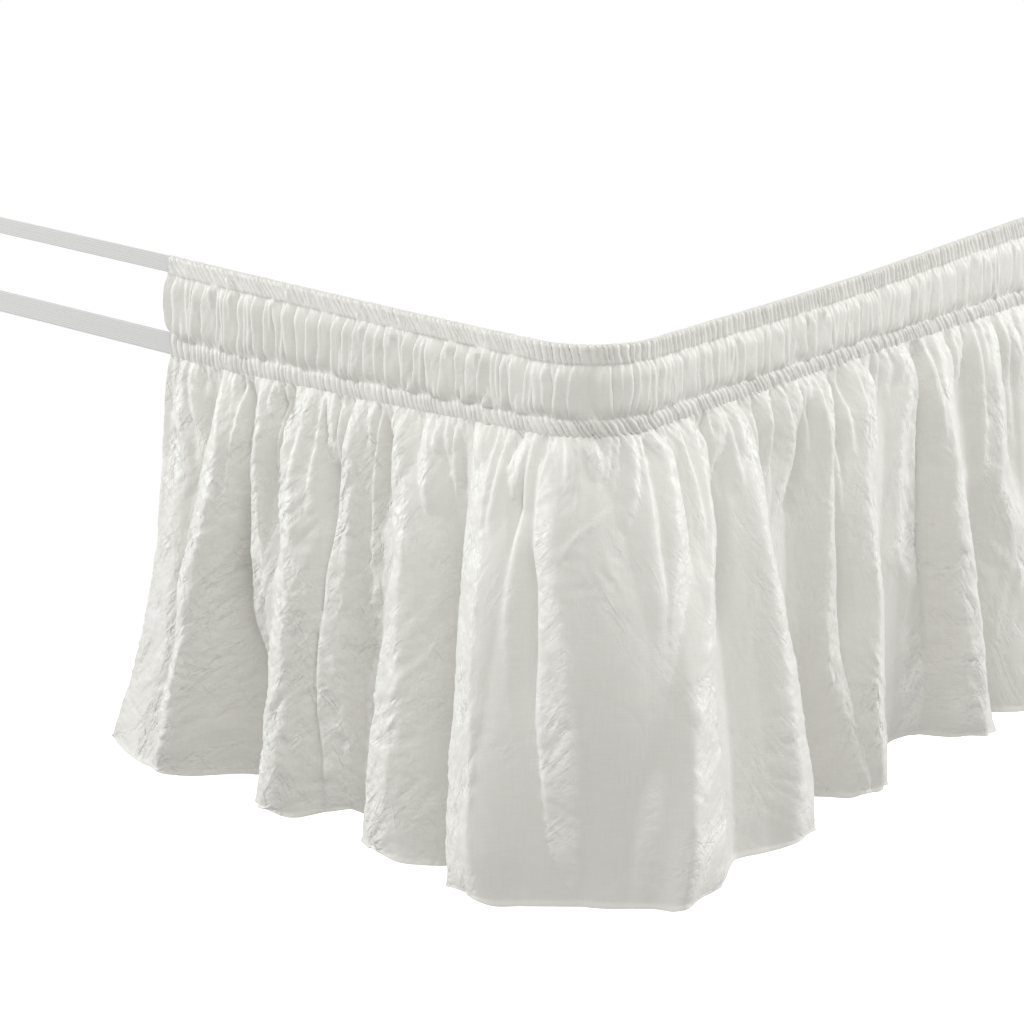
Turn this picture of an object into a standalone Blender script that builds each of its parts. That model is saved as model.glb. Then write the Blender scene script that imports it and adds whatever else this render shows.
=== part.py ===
"""Wrap-around elastic bed skirt for a queen bed: one gathered cloth and the two
elastics that close its open head end. Metres, +Z up, floor at z = 0, the bed's
centre at the origin, head end towards -Y.

The cloth follows a rounded rectangle, the band line, measured by `along`: 0 at the
middle of the near corner (+X, -Y), positive up the +X long side and on round the
foot, negative along the head side. Each crease of the drop is one row: where it
leaves the band, where it meets the hem, and how far the hem stands out there.
"""
import random

import bmesh
import bpy
import numpy as np

# --- Driving dimensions -----------------------------------------------------
BED_WIDTH = 1.524
BED_LENGTH = 2.032
CORNER_RADIUS = 0.066
HEAD_RETURN = 0.476  # cloth on the head side, from the bed's corner to its free edge

CLOTH_THICK = 0.0016
BAND_OUT = 0.0022  # outer face of the gathered bands, outside the bed's side
UPPER_CHANNEL = 0.016
PUFF_BULGE = 0.009
PUFF_UNEVEN = 0.0025

FLARE_POWER = 0.7  # how early the folds swing out below the band
LEAN_POWER = 1.3

UPPER_ELASTIC = 0.015
LOWER_ELASTIC = 0.020
ELASTIC_THICK = 0.0012
SEAT_GAP = 0.0003

COLUMN_STEP = 0.040  # widest facet along the band
DROP_STEPS = (0.12, 0.38, 0.70, 1.0)

# --- The rounded rectangle of the band --------------------------------------
ARC_HALF = CORNER_RADIUS * np.pi / 4
STRAIGHT_X = BED_WIDTH - 2 * CORNER_RADIUS
STRAIGHT_Y = BED_LENGTH - 2 * CORNER_RADIUS
# Sides in order: head, long side, foot, long side, head again; a corner after each.
SIDES = (STRAIGHT_X, STRAIGHT_Y, STRAIGHT_X, STRAIGHT_Y, STRAIGHT_X)
CORNER_OFFSET = CORNER_RADIUS - ARC_HALF  # a side's distance less its `along`
CORNERS = (
    0.0,
    STRAIGHT_Y + 2 * ARC_HALF,
    STRAIGHT_Y + STRAIGHT_X + 4 * ARC_HALF,
    2 * STRAIGHT_Y + STRAIGHT_X + 6 * ARC_HALF,
)
FREE_START = -(HEAD_RETURN - CORNER_OFFSET)
FREE_END = CORNERS[3] + HEAD_RETURN - CORNER_OFFSET

# --- The heading: its top edge, its depth down to the lower channel, that channel
HEADING = [
    # along, top edge's height, depth of top channel and puffs, lower channel
    (FREE_START, 0.4570, 0.0685, 0.0205),
    (-0.436, 0.4565, 0.0745, 0.0150),
    (-0.180, 0.4555, 0.0680, 0.0130),
    (0.000, 0.4565, 0.0620, 0.0130),
    (0.300, 0.4530, 0.0590, 0.0125),
    (0.590, 0.4570, 0.0670, 0.0130),
    (1.250, 0.4545, 0.0620, 0.0130),
    (CORNERS[1], 0.4565, 0.0630, 0.0130),
    (2.700, 0.4540, 0.0660, 0.0130),
    (CORNERS[2], 0.4565, 0.0620, 0.0130),
    (4.400, 0.4545, 0.0650, 0.0130),
    (CORNERS[3], 0.4565, 0.0630, 0.0130),
    (CORNERS[3] + 0.436, 0.4565, 0.0730, 0.0150),
    (FREE_END, 0.4570, 0.0685, 0.0205),
]

# --- Creases of the drop ----------------------------------------------------
HEAD_CREASES = [
    # along at the band, along at the hem, hem's reach out from the bed's side
    (FREE_START, -0.527, 0.035),  # free edge
    (-0.432, -0.480, 0.049),
    (-0.385, -0.434, 0.063),  # first ridge
    (-0.367, -0.411, 0.034),
    (-0.352, -0.382, 0.006),
    (-0.334, -0.354, -0.008),  # deep valley
    (-0.316, -0.339, 0.014),
    (-0.303, -0.328, 0.054),
    (-0.288, -0.304, 0.063),  # second ridge
    (-0.262, -0.276, 0.045),
    (-0.242, -0.247, 0.012),
    (-0.226, -0.231, 0.002),
    (-0.209, -0.217, 0.012),
    (-0.191, -0.201, 0.056),
    (-0.178, -0.178, 0.067),  # third ridge
    (-0.156, -0.148, 0.061),
    (-0.138, -0.121, 0.045),
]
CORNER_CREASES = [
    (-0.122, -0.101, 0.026),
    (-0.108, -0.084, 0.078),
    (-0.090, -0.066, 0.086),  # left edge of the corner's flat front
    (-0.066, -0.050, 0.084),
    (-0.038, -0.033, 0.067),
    (-0.008, -0.009, 0.058),
    (0.022, 0.019, 0.072),
    (0.044, 0.031, 0.088),  # right edge of the front
    (0.064, 0.044, 0.083),
    (0.088, 0.075, 0.068),
    (0.104, 0.110, 0.045),
]
LONG_SIDE_CREASES = [
    (0.124, 0.140, 0.055),
    (0.140, 0.169, 0.070),
    (0.156, 0.198, 0.067),  # first ridge past the corner
    (0.170, 0.215, 0.036),
    (0.190, 0.236, 0.006),
    (0.228, 0.256, 0.008),
    (0.262, 0.277, 0.032),
    (0.300, 0.303, 0.054),
    (0.330, 0.322, 0.057),  # second ridge
    (0.346, 0.338, 0.030),
    (0.364, 0.374, -0.008),
    (0.386, 0.408, -0.010),
    (0.402, 0.428, 0.016),
    (0.416, 0.444, 0.044),
    (0.434, 0.470, 0.057),  # third ridge
    (0.450, 0.494, 0.055),
    (0.464, 0.510, 0.030),
    (0.480, 0.524, 0.012),
    (0.500, 0.540, 0.030),
    (0.522, 0.562, 0.047),
    (0.546, 0.584, 0.057),  # fourth ridge
    (0.566, 0.600, 0.036),
]
# A plain fold of the sides that repeat, steep on one flank like those above.
FOLD_SHAPE = [
    # share of the fold's width, share of its reach
    (0.00, 0.00),
    (0.25, 0.62),
    (0.46, 1.00),
    (0.76, 0.56),
]
FOLD_WIDTH = 0.138
FOLD_REACH = (0.050, 0.068)
VALLEY_REACH = (-0.006, 0.014)
FOLD_SWAY = 0.010


def plain_folds(start, end, rng):
    """Seeded folds from one `along` to another, as crease rows."""
    count = round((end - start) / FOLD_WIDTH)
    weights = [rng.uniform(0.8, 1.2) for _ in range(count)]
    rows, here = [], start
    for weight in weights:
        width = (end - start) * weight / sum(weights)
        valley = rng.uniform(*VALLEY_REACH)
        reach = rng.uniform(*FOLD_REACH)
        sway = rng.uniform(-FOLD_SWAY, FOLD_SWAY)
        steep_first = rng.random() < 0.5
        for share, out in FOLD_SHAPE:
            place = share if steep_first else share * 0.8 + 0.2 * share**2
            top = here + place * width
            rows.append((top, top + sway * (out + 0.3), valley + out * (reach - valley)))
        here += width
    return rows


def shifted(rows, middle, mirrored=False):
    """Crease rows moved to another corner, or mirrored about it."""
    if mirrored:
        return [(middle - top, middle - hem, out) for top, hem, out in reversed(rows)]
    return [(middle + top, middle + hem, out) for top, hem, out in rows]


def crease_rows():
    """Every crease from the free edge at the near end round to the far one."""
    rng = random.Random(11)
    rows = HEAD_CREASES + CORNER_CREASES + LONG_SIDE_CREASES
    near, far = CORNER_CREASES[0][0], CORNER_CREASES[-1][0]
    step = 0.020
    for k, corner in enumerate(CORNERS[1:]):
        mirrored = k == 1
        first = corner - far if mirrored else corner + near
        rows = rows + plain_folds(rows[-1][0] + step, first - step, rng)
        rows = rows + shifted(CORNER_CREASES, corner, mirrored)
    return rows + shifted(HEAD_CREASES, CORNERS[3], mirrored=True)


def smooth_through(x, knots, values):
    """Monotone cubic through the knots: it bends, but never swings past a row."""
    knots, values = np.asarray(knots, float), np.asarray(values, float)
    gap = np.diff(knots)
    slope = np.diff(values) / gap
    inner = np.where(
        slope[:-1] * slope[1:] > 0,
        2 * slope[:-1] * slope[1:] / (slope[:-1] + slope[1:] + 1e-12),
        0.0,
    )
    tangent = np.concatenate([slope[:1], inner, slope[-1:]])
    k = np.clip(np.searchsorted(knots, x, side="right") - 1, 0, len(gap) - 1)
    u = np.clip((x - knots[k]) / gap[k], 0.0, 1.0)
    rise = values[k] + (3 * u**2 - 2 * u**3) * (values[k + 1] - values[k])
    swing = (u - 2 * u**2 + u**3) * tangent[k] + (u**3 - u**2) * tangent[k + 1]
    return rise + swing * gap[k]


def band_line(along):
    """Plan point and outward normal of the bed's rounded rectangle at `along`."""
    start = -(ARC_HALF + STRAIGHT_X)
    cx, cy = STRAIGHT_X / 2, STRAIGHT_Y / 2
    centres = [(-cx, -cy), (cx, -cy), (cx, cy), (-cx, cy), (-cx, -cy), (cx, -cy)]
    knots, angles, xs, ys = [], [], [], []
    for k, side in enumerate(SIDES):
        for centre in (centres[k], centres[k + 1]):
            knots.append(start)
            angles.append((k - 1) * np.pi / 2)
            xs.append(centre[0])
            ys.append(centre[1])
            start += side if centre is centres[k] else 2 * ARC_HALF
    angle = np.interp(along, knots, angles)
    normal = np.stack([np.cos(angle), np.sin(angle)], axis=-1)
    centre = np.stack([np.interp(along, knots, xs), np.interp(along, knots, ys)], axis=-1)
    return centre + CORNER_RADIUS * normal, normal


def cloth_columns(rows):
    """Band positions of the facets: one on each crease, more where they lie apart."""
    tops = [row[0] for row in rows]
    columns = [tops[0]]
    for left, right in zip(tops, tops[1:]):
        parts = int(np.ceil((right - left) / COLUMN_STEP))
        columns += [left + (right - left) * (k + 1) / parts for k in range(parts)]
    return np.array(columns)


def cloth_grid():
    """Outer face of the cloth as a grid of points, levels down by columns along."""
    rows = crease_rows()
    tops, hems, reaches = (np.array(column) for column in zip(*rows))
    along = cloth_columns(rows)
    lean = smooth_through(along, tops, hems - tops)
    reach = smooth_through(along, tops, reaches)
    places, edges, depths, channels = zip(*HEADING)
    top = smooth_through(along, places, edges)
    channel_top = top - smooth_through(along, places, depths)
    channel_foot = channel_top - smooth_through(along, places, channels)

    uneven = np.random.default_rng(5).uniform(-PUFF_UNEVEN, PUFF_UNEVEN, along.size)
    flat = np.full(along.size, BAND_OUT)
    strip_top = top - UPPER_CHANNEL
    levels = [
        (along, flat, top),
        (along, flat, strip_top),
        (along, flat + PUFF_BULGE + uneven, (strip_top + channel_top) / 2),
        (along, flat, channel_top),
        (along, flat, channel_foot),
    ]
    for t in DROP_STEPS:
        out = BAND_OUT + (reach - BAND_OUT) * t**FLARE_POWER
        slid = lean * t**LEAN_POWER
        levels.append((along + slid, out, channel_foot * (1 - t)))

    grid = []
    for place, out, height in levels:
        point, normal = band_line(place)
        plan = point + normal * out[:, None]
        grid.append(np.column_stack([plan, height]))
    return np.array(grid)


def material(name, colour, roughness):
    """A plain Principled material; nothing here is metal."""
    made = bpy.data.materials.new(name)
    made.use_nodes = True
    shader = made.node_tree.nodes["Principled BSDF"]
    shader.inputs["Base Color"].default_value = (*colour, 1.0)
    shader.inputs["Roughness"].default_value = roughness
    shader.inputs["Metallic"].default_value = 0.0
    return made


def add_object(name, vertices, faces, finish):
    """One named object with its mesh, finish and rounded shading."""
    mesh = bpy.data.meshes.new(name)
    mesh.from_pydata([tuple(v) for v in vertices], [], faces)
    mesh.materials.append(finish)
    mesh.shade_smooth()
    mesh.set_sharp_from_angle(angle=np.radians(50))
    made = bpy.data.objects.new(name, mesh)
    bpy.context.scene.collection.objects.link(made)
    return made


def add_cloth(finish):
    """The cloth: its outer face as a sheet, made solid inwards by Solidify."""
    grid = cloth_grid()
    count = grid.shape[1]
    faces = [
        (row * count + k, (row + 1) * count + k, (row + 1) * count + k + 1, row * count + k + 1)
        for row in range(grid.shape[0] - 1)
        for k in range(count - 1)
    ]
    cloth = add_object("skirt_cloth", grid.reshape(-1, 3), faces, finish)
    thick = cloth.modifiers.new("Thickness", "SOLIDIFY")
    thick.thickness = CLOTH_THICK
    thick.offset = -1.0
    return cloth


def add_strap(name, width, height, finish):
    """A flat elastic across the open head end, butted to the cloth's free edges."""
    length = BED_WIDTH - 2 * HEAD_RETURN - 2 * SEAT_GAP
    mesh = bmesh.new()
    bmesh.ops.create_cube(mesh, size=1.0)
    bmesh.ops.scale(mesh, vec=(length, ELASTIC_THICK, width), verts=mesh.verts)
    made = bpy.data.objects.new(name, bpy.data.meshes.new(name))
    mesh.to_mesh(made.data)
    mesh.free()
    made.data.materials.append(finish)
    outer_face = BED_LENGTH / 2 + BAND_OUT
    cloth_middle = outer_face - CLOTH_THICK / 2
    made.location = (0.0, -cloth_middle, height)
    bpy.context.scene.collection.objects.link(made)
    return made


def main():
    for old in list(bpy.data.objects):
        bpy.data.objects.remove(old, do_unlink=True)
    ivory = material("ivory_crinkle_cloth", (0.79, 0.78, 0.74), 0.55)
    white = material("white_knit_elastic", (0.86, 0.86, 0.85), 0.8)
    add_cloth(ivory)
    _, edge, depth, channel = HEADING[0]
    upper_middle = edge - UPPER_CHANNEL / 2
    lower_middle = edge - depth - channel / 2
    add_strap("strap_upper", UPPER_ELASTIC, upper_middle, white)
    add_strap("strap_lower", LOWER_ELASTIC, lower_middle, white)


main()
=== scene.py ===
# %% [markdown]
# # A wrap-around bed skirt
#
# One long strip of ivory crinkle cloth is gathered on two elastics and hung round a
# bed base, and the two bare elastics close the open head end. This lesson builds it
# from numpy surfaces: the cloth is a function of how far along the band a thread
# hangs and how far down it we look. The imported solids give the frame.

import random

import bpy
import numpy as np
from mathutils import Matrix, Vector


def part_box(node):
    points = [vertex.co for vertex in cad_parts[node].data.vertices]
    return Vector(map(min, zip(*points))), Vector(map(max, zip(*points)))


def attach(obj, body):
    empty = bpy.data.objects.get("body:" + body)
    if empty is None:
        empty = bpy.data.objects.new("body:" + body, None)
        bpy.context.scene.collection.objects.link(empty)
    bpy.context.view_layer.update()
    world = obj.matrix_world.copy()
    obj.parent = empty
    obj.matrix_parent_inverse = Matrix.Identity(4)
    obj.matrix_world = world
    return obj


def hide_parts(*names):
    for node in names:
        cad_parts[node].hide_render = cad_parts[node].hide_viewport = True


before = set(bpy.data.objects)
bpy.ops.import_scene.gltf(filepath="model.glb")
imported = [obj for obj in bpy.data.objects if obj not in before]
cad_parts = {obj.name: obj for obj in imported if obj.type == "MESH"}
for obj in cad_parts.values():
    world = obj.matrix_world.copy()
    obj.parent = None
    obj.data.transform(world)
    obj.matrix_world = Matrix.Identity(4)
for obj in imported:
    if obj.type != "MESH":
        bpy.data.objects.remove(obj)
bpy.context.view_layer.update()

# %% [markdown]
# ## Sizes
#
# The skirt is sized by the bed it grips and the drop to the floor. The few sizes
# that the solids use are repeated here, so that the cloth lies close to its solid.

# %% Driving sizes in metres
BED_WIDTH = 1.524
BED_LENGTH = 2.032
CORNER_RADIUS = 0.066
HEAD_RETURN = 0.476
DROP_TO_FLOOR = 0.457
BAND_OUT = 0.0042  # mean outer face of the gathered channels
UPPER_CHANNEL = 0.016

ARC_HALF = CORNER_RADIUS * np.pi / 4
STRAIGHT_X = BED_WIDTH - 2 * CORNER_RADIUS
STRAIGHT_Y = BED_LENGTH - 2 * CORNER_RADIUS
CORNER_OFFSET = CORNER_RADIUS - ARC_HALF
CORNERS = (
    0.0,
    STRAIGHT_Y + 2 * ARC_HALF,
    STRAIGHT_Y + STRAIGHT_X + 4 * ARC_HALF,
    2 * STRAIGHT_Y + STRAIGHT_X + 6 * ARC_HALF,
)
FREE_START = -(HEAD_RETURN - CORNER_OFFSET)
FREE_END = CORNERS[3] + HEAD_RETURN - CORNER_OFFSET
print("band length", round(FREE_END - FREE_START, 3), "m")

# %% [markdown]
# ## The band line
#
# Every thread hangs from a place on the bed's outline, `along`: 0 at the middle of
# the near corner, growing up the long side and round the foot, negative along the
# head side. Two lookups give whole arrays of points at once: the centre of the
# corner arc slides along the sides, and the normal turns on the arcs.


# %% Band line and a smooth curve through rows
def band_line(along):
    """Plan point and outward normal at `along`: arc centre plus radius times normal."""
    cx, cy, arc = STRAIGHT_X / 2, STRAIGHT_Y / 2, 2 * ARC_HALF
    lengths = [STRAIGHT_X, arc, STRAIGHT_Y, arc] * 2 + [STRAIGHT_X]
    knots = np.cumsum([-(ARC_HALF + STRAIGHT_X)] + lengths)  # where each side or arc begins
    angle = np.interp(along, knots, np.repeat(np.arange(-1, 4), 2) * np.pi / 2)
    xs = cx * np.array([-1, 1, 1, 1, 1, -1, -1, -1, -1, 1])
    ys = cy * np.array([-1, -1, -1, 1, 1, 1, 1, -1, -1, -1])
    normal = np.stack([np.cos(angle), np.sin(angle)], axis=-1)
    centre = np.stack([np.interp(along, knots, xs), np.interp(along, knots, ys)], axis=-1)
    return centre + CORNER_RADIUS * normal, normal


def off_band(along, out, height):
    """Points `out` from the band line at a height, and their directions out."""
    point, normal = band_line(along)
    points = np.concatenate([point + normal * out[..., None], height[..., None]], axis=-1)
    return points, np.concatenate([normal, 0 * normal[..., :1]], axis=-1)


def unit(x):
    """x clipped to 0..1."""
    return np.clip(x, 0, 1)


def smooth_through(x, knots, values):
    """Monotone cubic through the knots: it bends, but never swings past a row."""
    knots, values = np.asarray(knots, float), np.asarray(values, float)
    gap = np.diff(knots)
    slope = np.diff(values) / gap
    both = slope[:-1] * slope[1:]
    inner = np.where(both > 0, 2 * both / (slope[:-1] + slope[1:] + 1e-12), 0.0)
    tangent = np.concatenate([slope[:1], inner, slope[-1:]])
    k = np.clip(np.searchsorted(knots, x, side="right") - 1, 0, len(gap) - 1)
    u = unit((x - knots[k]) / gap[k])
    rise = values[k] + (3 * u**2 - 2 * u**3) * (values[k + 1] - values[k])
    swing = (u - 2 * u**2 + u**3) * tangent[k] + (u**3 - u**2) * tangent[k + 1]
    return rise + swing * gap[k]


# %% [markdown]
# ## The main folds
#
# A gathered skirt falls in big folds that start as nothing at the band and swing
# out towards the hem. Each crease is a row: where its thread leaves the band,
# where it meets the hem, and how far the hem stands out there. The corner the
# eye meets first is set row by row; the sides that repeat are seeded. The rows
# are nearly the solid's own.


# %% Heading rows and crease rows
def metres(rows):
    """Rows written in millimetres, in metres."""
    return [tuple(value / 1000 for value in row) for row in rows]


HEADING_ROWS = np.array([
    # along, top edge's height, depth of top channel and puffs, lower channel
    (FREE_START, 0.4570, 0.0685, 0.0205),
    (-0.436, 0.4565, 0.0745, 0.0150),
    (-0.180, 0.4555, 0.0680, 0.0130),
    (0.000, 0.4565, 0.0620, 0.0130),
    (0.300, 0.4530, 0.0590, 0.0125),
    (0.590, 0.4570, 0.0670, 0.0130),
    (1.250, 0.4545, 0.0620, 0.0130),
    (CORNERS[1], 0.4565, 0.0630, 0.0130),
    (2.700, 0.4540, 0.0660, 0.0130),
    (CORNERS[2], 0.4565, 0.0620, 0.0130),
    (4.400, 0.4545, 0.0650, 0.0130),
    (CORNERS[3], 0.4565, 0.0630, 0.0130),
    (CORNERS[3] + 0.436, 0.4565, 0.0730, 0.0150),
    (FREE_END, 0.4570, 0.0685, 0.0205),
])
# Crease rows in millimetres: along at the band, along at the hem, how far out the hem stands.
HEAD_CREASES = [(FREE_START, -0.527, 0.035)] + metres([
    (-432, -480, 49), (-385, -434, 63), (-367, -411, 34), (-352, -382, 6), (-334, -354, -8),
    (-316, -339, 14), (-303, -328, 54), (-288, -304, 63), (-262, -276, 45), (-242, -247, 12),
    (-226, -231, 2), (-209, -217, 12), (-191, -201, 56), (-178, -178, 67), (-156, -148, 61),
    (-138, -121, 45),
])
CORNER_CREASES = metres([
    (-122, -101, 26), (-108, -84, 78), (-90, -66, 86), (-66, -50, 84), (-38, -33, 67), (-8, -9, 58),
    (22, 19, 72), (42, 29, 88), (64, 44, 83), (88, 75, 68), (104, 110, 45),
])
LONG_SIDE_CREASES = metres([
    (124, 140, 55), (140, 169, 70), (156, 198, 67), (170, 215, 36), (190, 236, 6), (228, 256, 8),
    (262, 277, 32), (300, 303, 54), (330, 322, 57), (346, 338, 30), (364, 374, -8), (386, 408, -10),
    (404, 436, 6), (418, 452, 38), (434, 470, 57), (450, 494, 55), (464, 510, 30), (480, 524, 12),
    (500, 540, 30), (522, 562, 47), (546, 584, 57), (566, 600, 36),
])
# A seeded fold: share of its width, share of its reach.
FOLD_SHAPE = [(0.00, 0.00), (0.25, 0.62), (0.46, 1.00), (0.76, 0.56)]
FOLD_WIDTH = 0.138
FOLD_REACH = (0.050, 0.068)
VALLEY_REACH = (-0.006, 0.014)
FOLD_SWAY = 0.010
CORNER_CLEAR = 0.020  # from a seeded fold to the corner's own rows


def plain_folds(start, end, rng):
    """Seeded folds from one `along` to another, as crease rows."""
    count = round((end - start) / FOLD_WIDTH)
    weights = [rng.uniform(0.8, 1.2) for _ in range(count)]
    rows, here = [], start
    for weight in weights:
        width = (end - start) * weight / sum(weights)
        valley = rng.uniform(*VALLEY_REACH)
        reach = rng.uniform(*FOLD_REACH)
        sway = rng.uniform(-FOLD_SWAY, FOLD_SWAY)
        steep_first = rng.random() < 0.5
        for share, out in FOLD_SHAPE:
            place = share if steep_first else share * 0.8 + 0.2 * share**2
            top = here + place * width
            rows.append((top, top + sway * (out + 0.3), valley + out * (reach - valley)))
        here += width
    return rows


def shifted(rows, middle, mirrored=False):
    """Crease rows moved to another corner, or mirrored about it."""
    sign = -1 if mirrored else 1
    return [(middle + sign * top, middle + sign * hem, out) for top, hem, out in rows[::sign]]


def crease_rows():
    """Every crease from the free edge at the near end round to the far one."""
    rng = random.Random(11)
    rows = HEAD_CREASES + CORNER_CREASES + LONG_SIDE_CREASES
    near, far = CORNER_CREASES[0][0], CORNER_CREASES[-1][0]
    for k, corner in enumerate(CORNERS[1:]):
        mirrored = k == 1
        first = corner - far if mirrored else corner + near
        rows = rows + plain_folds(rows[-1][0] + CORNER_CLEAR, first - CORNER_CLEAR, rng)
        rows = rows + shifted(CORNER_CREASES, corner, mirrored)
    return rows + shifted(HEAD_CREASES, CORNERS[3], mirrored=True)


CREASES = np.array(crease_rows())
print(len(CREASES), "creases, hem reach up to", CREASES[:, 2].max(), "m")

# %% [markdown]
# ## Gathers, pleats and crumples
#
# An elastic channel squeezes the cloth into tight round pleats with sharp valleys.
# Each pleat is a hump between two edges, 1 - |2f - 1|^2 of the share f across it.
# Crumples are gradient noise: random slopes on a lattice, blended. Folding the
# noise about zero turns its crossings into the sharp ridges of creased cloth.


# %% Pleat humps and gradient noise
PLEAT_VARY, PLEAT_SKEW = 0.40, 0.35
SKEWS = (-0.06, 0.06, 0.6, 0.7), (-1, 1, 1, 0)  # along, lean of the pleats away from the corner


def spaced_edges(start, end, pitch, uneven, seed):
    """Pleat edges about `pitch` apart, each width jittered by `uneven`."""
    rng = np.random.default_rng(seed)
    count = int(round((end - start) / pitch))
    widths = rng.uniform(1 - uneven, 1 + uneven, count)
    return start + (end - start) * np.concatenate([[0.0], np.cumsum(widths)]) / widths.sum()


def pleat_hump(x, edges, seed):
    """Humps 1 - |2 f^a - 1|^2 between edges, a and the height seeded per pleat."""
    rng = np.random.default_rng(seed)
    count = len(edges) - 1
    height = rng.uniform(1 - PLEAT_VARY, 1 + PLEAT_VARY, count)
    bend = rng.uniform(-PLEAT_SKEW, PLEAT_SKEW, count)
    bend = np.exp(bend + 0.5 * np.interp(edges[:-1], *SKEWS))
    k = np.clip(np.searchsorted(edges, x, side="right") - 1, 0, count - 1)
    share = unit((x - edges[k]) / (edges[k + 1] - edges[k]))
    return height[k] * (1 - np.abs(2 * share ** bend[k] - 1) ** 2)


def lattice_noise(x, y, seed):
    """Gradient noise: random lattice slopes blended by a quintic, about -0.7..0.7."""
    angle = np.random.default_rng(seed).uniform(0, 2 * np.pi, (256, 256))
    gx, gy = np.cos(angle), np.sin(angle)
    ix, iy = np.floor(x).astype(int), np.floor(y).astype(int)
    fx, fy = x - ix, y - iy
    bx = fx**3 * (fx * (6 * fx - 15) + 10)
    by = fy**3 * (fy * (6 * fy - 15) + 10)
    total = 0.0
    for cx, wx in ((0, 1 - bx), (1, bx)):
        for cy, wy in ((0, 1 - by), (1, by)):
            px, py = (ix + cx) & 255, (iy + cy) & 255
            total = total + wx * wy * (gx[px, py] * (fx - cx) + gy[px, py] * (fy - cy))
    return total


def creased_noise(x, y, seed):
    """Sharp-ridged crumples 0..1: one minus the folded noise, on a warped lattice."""
    wx = x + 0.8 * lattice_noise(0.6 * x, 0.6 * y, seed + 1)
    wy = y + 0.8 * lattice_noise(0.6 * x + 31, 0.6 * y + 17, seed + 2)
    return 1 - unit(1.8 * np.abs(lattice_noise(wx, wy, seed)))


def wander(x, amount, length, seed):
    """`amount` times gradient noise along one array, its lattice `length` apart."""
    return amount * lattice_noise(x / length, 0 * x, seed)


def bell(x, width):
    """exp(-(x / width)^2)."""
    return np.exp(-((x / width) ** 2))


def ease(x):
    """3 x^2 - 2 x^3 of x clipped to 0..1."""
    x = unit(x)
    return x * x * (3 - 2 * x)


def settled(x, length):
    """0 at x = 0 and near 1 a few lengths on: 1 - exp(-x / length)."""
    return 1 - np.exp(-x / length)


# %% [markdown]
# ## One fold's section
#
# Gathered cloth seldom lies in waves. It folds over: a steep back, a narrow ribbon
# along the crest that catches the side light, and a long flat panel that slopes
# down to the next fold. On each side of the near corner the panels look towards
# the corner and the backs away from it. Where folds meet, the higher one wins,
# which leaves the sharp valley that a sum of waves would round off.


# %% Fold section and its side
RIBBON_SLOPE = 0.40  # climb of the ribbon from the back's edge to the panel
EDGE_SHARES = (0.25, 0.92)  # least and most of the height that the steep back reaches
CREST_ROUND, PANEL_ROUND = 0.02, 0.03
HAND_END = 0.56  # the long folds are listed one by one up to here
CORNER_LEANS = (-0.07, -0.012, 0.012, 0.07), (-1.0, -0.4, 0.4, 1.0)  # along, which way backs look


def lower_of(first, second, rounding):
    """The smaller of two arrays, with the corner where they cross rounded off."""
    return 0.5 * (first + second) - np.sqrt(0.25 * (first - second) ** 2 + rounding**2)


def fold_section(x, back, ribbon, panel, size):
    """Height 0..1 at x past the crest's edge: back, ribbon and panel as three ramps."""
    edge = np.clip(1 - RIBBON_SLOPE * ribbon / size, *EDGE_SHARES)
    climb = edge * (1 + x / back)
    crest = edge + (1 - edge) * x / ribbon
    fall = 1 - (x - ribbon) / panel
    top = lower_of(lower_of(climb, crest, CREST_ROUND), fall, PANEL_ROUND)
    return np.clip(top + PANEL_ROUND, 0, None)


def fold_side(along, rng):
    """Which way a fold's back looks, -1 or 1, and its height for each metre of width."""
    if along > HAND_END + 0.06:
        return (1 if rng.random() < 0.5 else -1), rng.uniform(0.45, 0.65)
    lean = np.interp(along, *CORNER_LEANS)
    side = 1 if lean + rng.uniform(-0.3, 0.3) > 0 else -1
    return side, (0.30 + 0.34 * abs(lean)) * rng.uniform(0.85, 1.15)


# %% [markdown]
# ## Making a mesh from a grid
#
# All the cloth is grids: rows down the cloth, columns along it. A UV map in metres
# of flat cloth keeps the scale of weave and crinkle, and Solidify gives thickness.
# The border is marked sharp, so the cut edge doesn't darken the cloth beside it.

# %% Grid to mesh
CLOTH_THICK = 0.0007
FULLNESS = 1.5  # flat cloth for each metre of band


def grid_quads(rows, columns, closed=False):
    """Corners of a grid's quads; a closed grid joins its last column to its first."""
    index = np.arange(rows * columns).reshape(rows, columns)
    ahead = np.roll(index, -1, axis=1)
    kept = slice(None) if closed else slice(-1)
    corners = [index[:-1, kept], index[1:, kept], ahead[1:, kept], ahead[:-1, kept]]
    return np.stack(corners, axis=-1).reshape(-1, 4)


def add_object(name, data):
    """A new object for a mesh, camera or light, in the scene."""
    made = bpy.data.objects.new(name, data)
    bpy.context.scene.collection.objects.link(made)
    return made


def listed(values, kind=np.float32):
    """An array as the one long row that Blender's meshes take."""
    return values.reshape(-1).astype(kind)


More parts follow.
